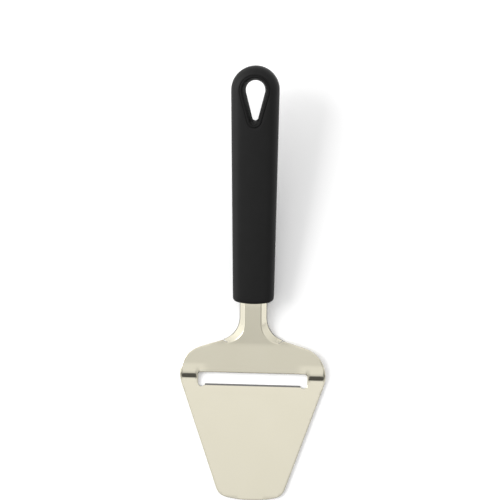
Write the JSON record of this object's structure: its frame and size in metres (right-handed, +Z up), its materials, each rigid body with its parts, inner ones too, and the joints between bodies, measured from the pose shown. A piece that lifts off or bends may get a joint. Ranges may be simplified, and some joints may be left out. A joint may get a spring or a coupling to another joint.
{
  "type": "cheese slicer",
  "caption": "Hand slicer for cheese: a flat steel spade with a slotted cutting edge, on a straight moulded handle with a hanging eye.",
  "frame": {"origin": "under the middle of the length, on the plane that the slicer stands on", "axes": "+X to the right across the blade, +Y along the slicer from the tip to the handle's end, +Z up, out of the upper face of the blade"},
  "size_m": [0.075, 0.2199, 0.0365],
  "materials": {
    "blade_steel": "satin stainless sheet, finely brushed",
    "core_plastic": "black moulded plastic, half gloss",
    "grip_rubber": "matt black soft moulded skin"
  },
  "bodies": {
    "root": {"blade": "blade_steel", "handle_core": "core_plastic", "soft_grip": "grip_rubber"}
  },
  "joints": []
}
